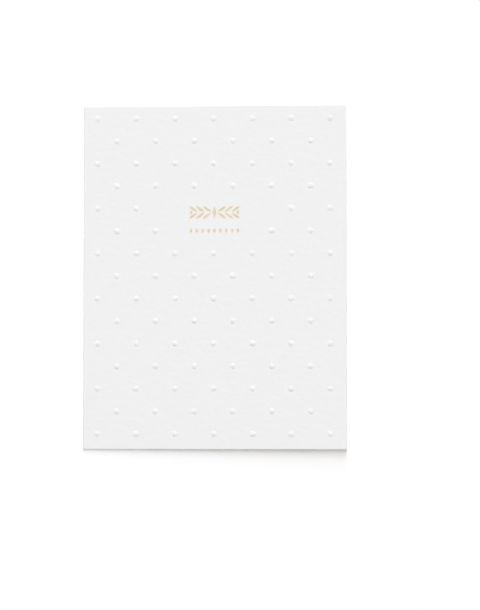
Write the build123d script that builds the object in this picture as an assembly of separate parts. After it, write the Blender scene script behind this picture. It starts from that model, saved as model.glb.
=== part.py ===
from build123d import *

import os
from itertools import pairwise
from math import atan2, cos, degrees, radians, sin, sqrt

# Folded greeting card, with raised dots and a small foil ornament on its front.
#
# One sheet of heavy cotton paper is scored and folded down its left side into two panels. It lies
# closed on its back panel, and the paper's own spring holds the front panel just off the back one. The
# front is embossed with dots in staggered rows. Each dot is pressed up from behind, so it stands out
# of the front and leaves a hollow inside. The dots keep clear of an ornament of thin metallic foil,
# which is stamped a little way into the paper, above the middle of the front.
#
# Millimetres. +X runs from the fold to the free edges, +Y to the card's top, and +Z up from the
# surface that the card lies on. The origin is on that surface, under the middle of the back panel.

# The sheet, and the card that it folds into
card_width = 107.2  # from the fold's nose to the back panel's cut edge
card_height = 139.7
sheet_thickness = 0.45
fold_inner_radius = 0.1
opening_angle = 1.2  # degrees between the panels as the card lies at rest

# The embossed dots: long rows, and between them rows with one dot fewer, half a pitch across
dot_diameter = 2.7
dot_height = 0.26
dot_column_pitch = 15.8  # between the dots of one row
dot_row_pitch = 9.18
dot_edge_margin = 4.5  # the least that is left between a dot's middle and the card's edges
dots_shift_x = -0.35  # from the front panel's middle to the middle of the pattern
dots_shift_y = 0.5
dome_side_count = 12  # flat sides stand for a dot's round: they are few, because the dots are many
dome_rings = (1.0, 0.45, 0.06)  # where each ring of them starts below the crown, in dot heights
hollow_side_count = 8
hollow_rings = (1.0, 0.12)

# The foil ornament: a sprig of paired leaves about a tall lozenge, over a row of small lozenges
ornament_above_middle = 26.4  # from the front panel's middle to the sprig's
ornament_margin = 7.0  # a dot's middle comes no nearer to the foil than this
lozenge_width = 1.7
lozenge_height = 5.2
leaf_pair_count = 3  # on each side of the lozenge
leaf_length = 4.2
leaf_width = 1.1
leaf_lean = 35.0  # degrees from level
leaf_gap = 0.5  # from a leaf to the next one out
leaf_tip_gap = 0.3  # between the tips of a pair
bud_width = 1.3
bud_height = 1.8
row_below_sprig = 7.5
row_lozenge_count = 9
row_lozenge_width = 1.3
row_lozenge_height = 2.2
row_lozenge_gap = 1.1
foil_thickness = 0.05
foil_sink = 0.1  # how deep the stamp presses the paper, which the foil lies at the bottom of

# What follows from them
fold_outer_radius = fold_inner_radius + sheet_thickness
fold_axis_x = fold_outer_radius - card_width / 2
panel_length = card_width - fold_outer_radius  # from the fold's axis to a panel's cut edge
dot_ball_radius = ((dot_diameter / 2) ** 2 + dot_height**2) / (2 * dot_height)
leaf_reach = leaf_length / 2 * cos(radians(leaf_lean))  # from a leaf's middle out to its tip
leaf_rise = leaf_length / 2 * sin(radians(leaf_lean))  # and up to it
leaf_out = lozenge_width / 2 + leaf_gap + leaf_reach  # from the sprig's middle to the first pair's
leaf_up = leaf_tip_gap / 2 + leaf_rise
leaf_pitch = (leaf_width + leaf_gap) / sin(radians(leaf_lean))
bud_out = leaf_out + (leaf_pair_count - 1) * leaf_pitch + leaf_reach / 2
row_pitch = row_lozenge_width + row_lozenge_gap

# The front panel lies level over the back one, and opens about the fold's axis
opened = Pos(fold_axis_x, 0, fold_outer_radius) * Rot(0, -opening_angle, 0)
front_face = opened * Pos(-fold_axis_x, 0, fold_outer_radius)
inner_face = front_face * Pos(0, 0, -sheet_thickness)


def folded_sheet():
    """Back panel, fold and front panel in one: their middle line, given the sheet's thickness."""
    fold_middle_radius = fold_inner_radius + sheet_thickness / 2
    with BuildPart() as sheet:
        with BuildSketch(Plane.XZ):
            with BuildLine():
                Line((card_width / 2, sheet_thickness / 2), (fold_axis_x, sheet_thickness / 2))
                axis = (fold_axis_x, fold_outer_radius)
                fold = CenterArc(axis, fold_middle_radius, 270, opening_angle - 180)
                PolarLine(fold @ 1, panel_length, direction=fold % 1)
            trace(line_width=sheet_thickness)
        extrude(amount=card_height / 2, both=True)
    return sheet.part


def lozenge(width, height):
    return Polygon((width / 2, 0), (0, height / 2), (-width / 2, 0), (0, -height / 2))


def pointed_oval(length, width):
    """A leaf's outline: two shallow arcs that meet in a point at each end."""
    left, right = (-length / 2, 0), (length / 2, 0)
    upper = ThreePointArc(left, (0, width / 2), right)
    lower = ThreePointArc(left, (0, -width / 2), right)
    return make_face(upper + lower)


def ornament_outline():
    """The stamp's flat shapes on XY, about the middle of the front panel."""
    leaf = Rot(0, 0, leaf_lean) * pointed_oval(leaf_length, leaf_width)
    right_half = Pos(bud_out, 0) * lozenge(bud_width, bud_height)
    for pair in range(leaf_pair_count):
        upper_leaf = Pos(leaf_out + pair * leaf_pitch, leaf_up) * leaf
        right_half += [upper_leaf, mirror(upper_leaf, about=Plane.XZ)]
    sprig = lozenge(lozenge_width, lozenge_height) + right_half + mirror(right_half, about=Plane.YZ)
    row_places = GridLocations(row_pitch, 1, row_lozenge_count, 1)
    row = [place * lozenge(row_lozenge_width, row_lozenge_height) for place in row_places]
    return Pos(0, ornament_above_middle) * (sprig + [Pos(0, -row_below_sprig) * shape for shape in row])


def dot_places(ornament):
    """The dots' middles on XY, in two grids of rows that interleave, clear of the ornament."""
    long_count = 1 + int((card_width - 2 * dot_edge_margin) / dot_column_pitch)
    long_row_count = 1 + int((card_height - 2 * dot_edge_margin) / (2 * dot_row_pitch))
    long_rows = GridLocations(dot_column_pitch, 2 * dot_row_pitch, long_count, long_row_count)
    short_rows = GridLocations(dot_column_pitch, 2 * dot_row_pitch, long_count - 1, long_row_count - 1)
    pattern_middle = Pos(dots_shift_x, dots_shift_y)
    places = [pattern_middle * place for place in [*long_rows, *short_rows]]
    return [place for place in places if ornament.distance_to(Vertex(place.position)) > ornament_margin]


def ball_cap(ball_radius, rings, side_count):
    """The cap of a ball that a dot presses up, with its rim on XY, in rings of flat sides."""
    depths = [ring * dot_height for ring in rings]
    radii = [sqrt(2 * ball_radius * depth - depth**2) for depth in depths]
    cap = Part()
    for (low, low_radius), (high, high_radius) in pairwise(zip(depths, radii)):
        base = Pos(0, 0, dot_height - low) * RegularPolygon(low_radius, side_count, major_radius=False)
        lean = degrees(atan2(low_radius - high_radius, low - high))
        cap += extrude(base, low - high, taper=lean)
    return cap


def embossed(sheet, places):
    """The sheet with its dots pressed up: a dome on the front, and a hollow behind about one centre."""
    dome = ball_cap(dot_ball_radius, dome_rings, dome_side_count)
    hollow = ball_cap(dot_ball_radius - sheet_thickness, hollow_rings, hollow_side_count)
    sheet += [front_face * place * dome for place in places]
    sheet -= [inner_face * place * hollow for place in places]
    return sheet


ornament = ornament_outline()
stamped_floor = front_face * Pos(0, 0, -foil_sink)
folded_card = embossed(folded_sheet(), dot_places(ornament))
folded_card -= stamped_floor * extrude(ornament, foil_sink)
foil_ornament = stamped_floor * extrude(ornament, foil_thickness)

os.makedirs("parts", exist_ok=True)
export_step(folded_card, "parts/folded_card.step")
export_step(foil_ornament, "parts/foil_ornament.step")
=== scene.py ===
from math import cos, pi, radians, sin, tan

import bmesh
import bpy
from mathutils import Matrix, Vector


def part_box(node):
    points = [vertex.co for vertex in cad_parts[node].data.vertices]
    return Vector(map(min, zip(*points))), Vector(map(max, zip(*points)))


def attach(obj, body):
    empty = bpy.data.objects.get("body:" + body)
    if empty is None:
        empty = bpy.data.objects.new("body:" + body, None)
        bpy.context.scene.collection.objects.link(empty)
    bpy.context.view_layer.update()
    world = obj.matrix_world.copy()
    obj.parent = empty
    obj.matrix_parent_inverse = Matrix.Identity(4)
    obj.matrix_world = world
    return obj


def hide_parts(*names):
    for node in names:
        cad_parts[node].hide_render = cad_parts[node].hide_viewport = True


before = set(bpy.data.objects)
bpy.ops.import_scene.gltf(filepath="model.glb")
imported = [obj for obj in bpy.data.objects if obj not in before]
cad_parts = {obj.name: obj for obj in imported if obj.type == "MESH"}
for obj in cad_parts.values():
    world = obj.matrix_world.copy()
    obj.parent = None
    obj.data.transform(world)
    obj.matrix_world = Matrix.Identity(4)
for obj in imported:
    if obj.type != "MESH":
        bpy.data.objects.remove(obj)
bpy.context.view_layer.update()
scene = bpy.context.scene
mm = 0.001


# The camera hangs almost straight above the card and looks down on it through a long lens. It is a
# little below the card's middle and to its right, as the slight narrowing of the outline shows.
camera_distance = 0.8975
camera_tip = radians(2.11)
camera_lean = radians(1.75)
looked_at = Vector((10.33 * mm, -11.3 * mm, 0))

camera = bpy.data.objects.new("camera", bpy.data.cameras.new("camera"))
camera.data.lens = 130.0
camera.data.sensor_width = 36.0
camera.rotation_euler = (camera_tip, camera_lean, 0)
camera.location = looked_at + camera.rotation_euler.to_matrix() @ Vector((0, 0, camera_distance))
scene.collection.objects.link(camera)
scene.camera = camera


# The card is one sheet of heavy cotton paper, scored and folded once down its left side, and sprung
# just open. Its dots are pressed up from behind, so the sheet bulges in front and is hollow inside.
card_low, card_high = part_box("folded_card")
card_size = card_high - card_low
sheet_thickness = 0.45 * mm
fold_radius = 0.55 * mm  # to the outside of the sheet
fold_steps = 14
opening_angle = radians(1.2)
fold_axis = Vector((card_low.x + fold_radius, 0, fold_radius))
cut_edge_bevel = 0.04 * mm
cut_edge_turn = radians(80)  # nothing but a cut edge turns as sharply as this

dot_radius = 1.35 * mm  # out to where its foot has met the flat
dot_slope = radians(22.5)  # of the flank, between the curves of the crown and the foot
crown_curve = 2.7 * mm
crown_steps = 4
foot_curve = 0.6 * mm
foot_steps = 3
dot_steps_round = 24
cell_width = 7.9 * mm  # half the space between two dots of a row, because the rows are staggered
cell_height = 9.18 * mm  # from row to row
pattern_middle = Vector((-0.35 * mm, 0.5 * mm, 0))
ornament_low, ornament_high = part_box("foil_ornament")
ornament_margin = 6.5 * mm  # no dot's middle is nearer to the ornament than this
merge_distance = 0.001 * mm


def only_verts(parts):
    return [part for part in parts if isinstance(part, bmesh.types.BMVert)]


def with_verts(edges):
    """The edges and then their vertices, each of which is named once."""
    return edges + list(dict.fromkeys(vert for edge in edges for vert in edge.verts))


def plain_cell():
    """A flat cell of the pattern, the size of the space that each dot has to itself."""
    cell = bmesh.new()
    bmesh.ops.create_grid(cell, x_segments=1, y_segments=1, size=0.5)
    bmesh.ops.scale(cell, verts=cell.verts, vec=(cell_width, cell_height, 1))
    return cell


def dotted_cell():
    """The same cell with a dot: its profile is spun about its middle, then the flat is filled in."""
    flank_width = dot_radius - (crown_curve + foot_curve) * sin(dot_slope)
    flank_drop = flank_width * tan(dot_slope)
    dot_height = (crown_curve + foot_curve) * (1 - cos(dot_slope)) + flank_drop
    cell = plain_cell()
    bmesh.ops.delete(cell, geom=cell.faces[:], context="FACES_ONLY")
    outline = set(cell.edges)
    summit = cell.verts.new((0, 0, dot_height))
    below = (0, 0, dot_height - crown_curve)
    crown = bmesh.ops.spin(
        cell, geom=[summit], cent=below, axis=(0, 1, 0), angle=dot_slope, steps=crown_steps
    )
    flank = bmesh.ops.extrude_vert_indiv(cell, verts=only_verts(crown["geom_last"]))["verts"]
    bmesh.ops.translate(cell, verts=flank, vec=(flank_width, 0, -flank_drop))
    above = (dot_radius, 0, foot_curve)
    bmesh.ops.spin(cell, geom=flank, cent=above, axis=(0, -1, 0), angle=dot_slope, steps=foot_steps)
    bmesh.ops.spin(
        cell,
        geom=with_verts([edge for edge in cell.edges if edge not in outline]),
        cent=(0, 0, 0),
        axis=(0, 0, 1),
        angle=2 * pi,
        steps=dot_steps_round,
        use_merge=True,
    )
    bmesh.ops.remove_doubles(cell, verts=cell.verts, dist=merge_distance)
    open_edges = [edge for edge in cell.edges if not edge.is_manifold]
    bmesh.ops.triangle_fill(cell, edges=open_edges, use_beauty=True, normal=(0, 0, 1))
    return cell


def as_mesh(shape, name):
    mesh = bpy.data.meshes.new(name)
    shape.to_mesh(mesh)
    shape.free()
    return mesh


def near_ornament(x, y):
    near_x = ornament_low.x - ornament_margin < x < ornament_high.x + ornament_margin
    return near_x and ornament_low.y - ornament_margin < y < ornament_high.y + ornament_margin


def edges_at(shape, axis, place):
    """The open edges that lie at one place along an axis."""
    close = 0.01 * mm
    return [
        edge
        for edge in shape.edges
        if edge.is_boundary and all(abs(vert.co[axis] - place) < close for vert in edge.verts)
    ]


def widen(shape, axis, start, end):
    """Carries the sheet on, flat, from its open edges at start to end along an axis."""
    new = bmesh.ops.extrude_edge_only(shape, edges=edges_at(shape, axis, start))["geom"]
    step = Vector((0, 0, 0))
    step[axis] = end - start
    bmesh.ops.translate(shape, verts=only_verts(new), vec=step)


# The cells are laid out flat to each side of the middle one, and the sheet is carried on from them.
plain = as_mesh(plain_cell(), "plain_cell")
dotted = as_mesh(dotted_cell(), "dotted_cell")
columns = int((card_size.x / cell_width - 1) / 2)
rows = int((card_size.y / cell_height - 1) / 2)
sheet = bmesh.new()
for column in range(-columns, columns + 1):
    for row in range(-rows, rows + 1):
        place = pattern_middle + Vector((column * cell_width, row * cell_height, 0))
        has_dot = (column + row) % 2 == 1 and not near_ornament(place.x, place.y)
        before = len(sheet.verts)
        sheet.from_mesh(dotted if has_dot else plain)
        sheet.verts.ensure_lookup_table()
        bmesh.ops.translate(sheet, verts=sheet.verts[before:], vec=place)
bmesh.ops.remove_doubles(sheet, verts=sheet.verts, dist=merge_distance)

pattern_reach = Vector(((columns + 0.5) * cell_width, (rows + 0.5) * cell_height, 0))
pattern_low, pattern_high = pattern_middle - pattern_reach, pattern_middle + pattern_reach
widen(sheet, 0, pattern_low.x, fold_axis.x)
widen(sheet, 0, pattern_high.x, card_high.x)
widen(sheet, 1, pattern_low.y, card_low.y)
widen(sheet, 1, pattern_high.y, card_high.y)
bmesh.ops.translate(sheet, verts=sheet.verts, vec=(0, 0, 2 * fold_radius))

# The front is tipped open, the fold is spun from its scored side, and the back runs on from the fold.
scored = edges_at(sheet, 0, fold_axis.x)
tipped = Matrix.Rotation(-opening_angle, 3, "Y")
bmesh.ops.rotate(sheet, verts=sheet.verts, cent=fold_axis, matrix=tipped)
fold = bmesh.ops.spin(
    sheet,
    geom=with_verts(scored),
    cent=fold_axis,
    axis=(0, -1, 0),
    angle=pi - opening_angle,
    steps=fold_steps,
)
back_start = [part for part in fold["geom_last"] if isinstance(part, bmesh.types.BMEdge)]
back = bmesh.ops.extrude_edge_only(sheet, edges=back_start)["geom"]
bmesh.ops.translate(sheet, verts=only_verts(back), vec=(card_high.x - fold_axis.x, 0, 0))
bmesh.ops.remove_doubles(sheet, verts=sheet.verts, dist=merge_distance)
bmesh.ops.recalc_face_normals(sheet, faces=sheet.faces)
bmesh.ops.solidify(sheet, geom=sheet.faces[:], thickness=sheet_thickness)
cut_edges = [edge for edge in sheet.edges if edge.calc_face_angle() > cut_edge_turn]
bmesh.ops.bevel(
    sheet,
    geom=cut_edges,
    offset=cut_edge_bevel,
    segments=2,
    profile=0.5,
    affect="EDGES",
    material=-1,
)
card = bpy.data.objects.new("card", as_mesh(sheet, "card"))
scene.collection.objects.link(card)

# The stamp's hollow is cut with a copy of the foil that reaches out through the front of the sheet.
stamp_reach = 0.2 * mm
front_normal = Vector((-sin(opening_angle), 0, cos(opening_angle)))
alike = 0.9  # the cosine of two directions that count as one
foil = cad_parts["foil_ornament"]
stamp = bmesh.new()
stamp.from_mesh(foil.data)
bmesh.ops.remove_doubles(stamp, verts=stamp.verts, dist=merge_distance)
top = {vert for face in stamp.faces if face.normal.dot(front_normal) > alike for vert in face.verts}
bmesh.ops.translate(stamp, verts=list(top), vec=stamp_reach * front_normal)
stamp_tool = bpy.data.objects.new("stamp_tool", as_mesh(stamp, "stamp_tool"))
scene.collection.objects.link(stamp_tool)
stamping = card.modifiers.new("stamping", "BOOLEAN")
stamping.operation = "DIFFERENCE"
stamping.solver = "EXACT"
stamping.object = stamp_tool
bpy.context.view_layer.update()
stamped = card.evaluated_get(bpy.context.evaluated_depsgraph_get())
card.data = bpy.data.meshes.new_from_object(stamped)
card.modifiers.clear()
bpy.data.objects.remove(stamp_tool)

# The dots and the fold turn by less than this from face to face, so they look smooth.
smooth_turn = radians(25)
card.data.shade_smooth()
card.data.set_sharp_from_angle(angle=smooth_turn)
flat_faces = card.modifiers.new("flat_faces", "WEIGHTED_NORMAL")
flat_faces.keep_sharp = True

# Uncoated cotton paper: a matt white with a soft felt tooth, which runs across the card.
paper_white = (0.87, 0.87, 0.87, 1)
# The paper is painted a little darker in the dips of its tooth, as painted shade.
paper_dip_shade_white = (0.8526, 0.8526, 0.8526, 1)  # in the dips of the tooth


def paper_tooth():
    """A node group for the tooth of uncoated paper: soft long lumps, with fine fibres over them."""
    group = bpy.data.node_groups.new("paper_tooth", "ShaderNodeTree")
    group.interface.new_socket("Vector", in_out="INPUT", socket_type="NodeSocketVector")
    group.interface.new_socket("Depth", in_out="INPUT", socket_type="NodeSocketFloat")
    group.interface.new_socket("Normal", in_out="OUTPUT", socket_type="NodeSocketVector")
    group.interface.new_socket("Lump Height", in_out="OUTPUT", socket_type="NodeSocketFloat")
    nodes, links = group.nodes, group.links
    inside = nodes.new("NodeGroupInput")
    outside = nodes.new("NodeGroupOutput")
    lumps_across = nodes.new("ShaderNodeMapping")
    lumps_across.inputs["Scale"].default_value = (0.65, 1, 1)
    lumps = nodes.new("ShaderNodeTexNoise")
    lumps.inputs["Scale"].default_value = 400
    lumps.inputs["Detail"].default_value = 3
    lumps.inputs["Roughness"].default_value = 0.55
    fibres_across = nodes.new("ShaderNodeMapping")
    fibres_across.inputs["Scale"].default_value = (0.5, 1, 1)
    fibres = nodes.new("ShaderNodeTexNoise")
    fibres.inputs["Scale"].default_value = 3600
    fibres.inputs["Detail"].default_value = 2
    fibres.inputs["Distortion"].default_value = 0.8
    fibre_share = 0.15
    height = nodes.new("ShaderNodeMath")
    height.operation = "MULTIPLY_ADD"
    height.inputs[1].default_value = fibre_share
    bump = nodes.new("ShaderNodeBump")
    links.new(inside.outputs["Vector"], lumps_across.inputs["Vector"])
    links.new(lumps_across.outputs["Vector"], lumps.inputs["Vector"])
    links.new(inside.outputs["Vector"], fibres_across.inputs["Vector"])
    links.new(fibres_across.outputs["Vector"], fibres.inputs["Vector"])
    links.new(fibres.outputs["Fac"], height.inputs[0])
    links.new(lumps.outputs["Fac"], height.inputs[2])
    links.new(height.outputs["Value"], bump.inputs["Height"])
    links.new(inside.outputs["Depth"], bump.inputs["Distance"])
    links.new(bump.outputs["Normal"], outside.inputs["Normal"])
    links.new(lumps.outputs["Fac"], outside.inputs["Lump Height"])
    return group


tooth = paper_tooth()


def toothed(name, depth, dip_shade_colour, lump_colour, dip_roughness, lump_roughness):
    """A material with the paper's tooth: its roughness changes from dip to lump, and its colour is
    painted darker in the dips as shade.
    """
    material = bpy.data.materials.new(name)
    material.use_nodes = True
    nodes, links = material.node_tree.nodes, material.node_tree.links
    shader = nodes["Principled BSDF"]
    coordinates = nodes.new("ShaderNodeTexCoord")
    grain = nodes.new("ShaderNodeGroup")
    grain.node_tree = tooth
    grain.inputs["Depth"].default_value = depth
    colour = nodes.new("ShaderNodeMix")
    colour.data_type = "RGBA"
    colour.inputs["A"].default_value = dip_shade_colour
    colour.inputs["B"].default_value = lump_colour
    roughness = nodes.new("ShaderNodeMapRange")
    roughness.inputs["To Min"].default_value = dip_roughness
    roughness.inputs["To Max"].default_value = lump_roughness
    links.new(coordinates.outputs["Object"], grain.inputs["Vector"])
    # The colour follows the lumps' height, so the dips of the tooth get painted shade.
    links.new(grain.outputs["Lump Height"], colour.inputs["Factor"])
    links.new(colour.outputs["Result"], shader.inputs["Base Color"])
    links.new(grain.outputs["Lump Height"], roughness.inputs["Value"])
    links.new(roughness.outputs["Result"], shader.inputs["Roughness"])
    links.new(grain.outputs["Normal"], shader.inputs["Normal"])
    return material, shader


paper, shader = toothed(
    "cotton_paper",
    depth=0.12 * mm,
    dip_shade_colour=paper_dip_shade_white,
    lump_colour=paper_white,
    dip_roughness=0.82,
    lump_roughness=0.95,
)
shader.inputs["Specular IOR Level"].default_value = 0.25
card.data.materials.clear()
card.data.materials.append(paper)

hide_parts("folded_card")
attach(card, "root")


# The ornament is a film of pale gold foil, pressed into the front by a hot stamp. It lies on the
# floor of the stamp's hollow and takes the paper's tooth, which breaks up its shine.
foil_gold = (0.895, 0.785, 0.6, 1)
foil_dip_shade_gold = (0.705, 0.565, 0.365, 1)  # painted shade: a deeper gold in the dips of the tooth
gold, shader = toothed(
    "pale_gold_foil",
    depth=0.06 * mm,
    dip_shade_colour=foil_dip_shade_gold,
    lump_colour=foil_gold,
    dip_roughness=0.28,
    lump_roughness=0.48,
)
shader.inputs["Metallic"].default_value = 1.0
foil.data.materials.clear()
foil.data.materials.append(gold)


# The card lies on a plain white floor. To the camera, a little of the floor's white is its own, so
# that it is pure white and still takes the card's shadow. Far from the card, where less light falls,
# all of it is, so the floor runs into the white surround. It can't be seen from underneath.
floor_size = 6.0
floor_colour = (0.98, 0.98, 0.98, 1)
glow_near_card = 0.025
glow_starts = 0.2  # metres from the middle of the card, where the glow starts to grow
glow_full = 1.2
white = (1, 1, 1, 1)

floor_shape = bmesh.new()
bmesh.ops.create_grid(floor_shape, x_segments=1, y_segments=1, size=floor_size / 2)
floor = bpy.data.objects.new("floor", as_mesh(floor_shape, "floor"))
scene.collection.objects.link(floor)
floor_white = bpy.data.materials.new("floor_white")
floor_white.use_nodes = True
nodes, links = floor_white.node_tree.nodes, floor_white.node_tree.links
shader = nodes["Principled BSDF"]
shader.inputs["Base Color"].default_value = floor_colour
shader.inputs["Roughness"].default_value = 1.0
shader.inputs["Specular IOR Level"].default_value = 0.0
shader.inputs["Emission Color"].default_value = white
coordinates = nodes.new("ShaderNodeTexCoord")
away = nodes.new("ShaderNodeVectorMath")
away.operation = "LENGTH"
glow = nodes.new("ShaderNodeMapRange")
glow.inputs["From Min"].default_value = glow_starts
glow.inputs["From Max"].default_value = glow_full
glow.inputs["To Min"].default_value = glow_near_card
light_path = nodes.new("ShaderNodeLightPath")
seen = nodes.new("ShaderNodeMath")
seen.operation = "MULTIPLY"
links.new(coordinates.outputs["Object"], away.inputs[0])
links.new(away.outputs["Value"], glow.inputs["Value"])
links.new(glow.outputs["Result"], seen.inputs[0])
links.new(light_path.outputs["Is Camera Ray"], seen.inputs[1])
links.new(seen.outputs["Value"], shader.inputs["Emission Strength"])
geometry = nodes.new("ShaderNodeNewGeometry")
clear = nodes.new("ShaderNodeBsdfTransparent")
either = nodes.new("ShaderNodeMixShader")
links.new(geometry.outputs["Backfacing"], either.inputs["Fac"])
links.new(shader.outputs["BSDF"], either.inputs[1])
links.new(clear.outputs["BSDF"], either.inputs[2])
links.new(either.outputs["Shader"], nodes["Material Output"].inputs["Surface"])
floor.data.materials.append(floor_white)


# Plain studio light: a tall soft lamp beyond the top of the card, which leans over it, and a white
# surround. The surround's light is a little warm and the lamp's a little cool, so lit paper is
# neutral and its shadow is warm.
lamp_distance = 5.0
lamp_height_angle = radians(59)
lamp_width = 1.4
lamp_length = 11.0
lamp_power = 392.0
lamp_colour = (0.943, 1.016, 1.053)
surround_light = (0.25, 0.192, 0.163, 1)

lamp = bpy.data.objects.new("tall_soft_lamp", bpy.data.lights.new("tall_soft_lamp", "AREA"))
lamp.data.shape = "RECTANGLE"
lamp.data.size = lamp_width
lamp.data.size_y = lamp_length
lamp.data.energy = lamp_power
lamp.data.color = lamp_colour
lamp.visible_glossy = False  # so that the foil mirrors the even surround and not the lamp
towards_lamp = Vector((0, cos(lamp_height_angle), sin(lamp_height_angle)))
lamp.location = lamp_distance * towards_lamp
lamp.rotation_euler = towards_lamp.to_track_quat("Z", "Y").to_euler()
scene.collection.objects.link(lamp)

# The surround looks pure white to the camera and in the foil, but lights the card more gently. Only
# from below is its light as strong as the lamp's, so that the card's back looks white too.
world = bpy.data.worlds.new("surround")
scene.world = world
world.use_nodes = True
nodes, links = world.node_tree.nodes, world.node_tree.links
background = nodes["Background"]
direction = nodes.new("ShaderNodeTexCoord")
height = nodes.new("ShaderNodeSeparateXYZ")
below = nodes.new("ShaderNodeMath")
below.operation = "LESS_THAN"
below.inputs[1].default_value = 0.0
falling = nodes.new("ShaderNodeMix")
falling.data_type = "RGBA"
falling.inputs["A"].default_value = surround_light
falling.inputs["B"].default_value = white
light_path = nodes.new("ShaderNodeLightPath")
direct = nodes.new("ShaderNodeMath")
direct.operation = "MAXIMUM"
shown = nodes.new("ShaderNodeMix")
shown.data_type = "RGBA"
shown.inputs["B"].default_value = white
links.new(direction.outputs["Generated"], height.inputs["Vector"])
links.new(height.outputs["Z"], below.inputs[0])
links.new(below.outputs["Value"], falling.inputs["Factor"])
links.new(light_path.outputs["Is Camera Ray"], direct.inputs[0])
links.new(light_path.outputs["Is Glossy Ray"], direct.inputs[1])
links.new(direct.outputs["Value"], shown.inputs["Factor"])
links.new(falling.outputs["Result"], shown.inputs["A"])
links.new(shown.outputs["Result"], background.inputs["Color"])

scene.view_settings.view_transform = "Standard"
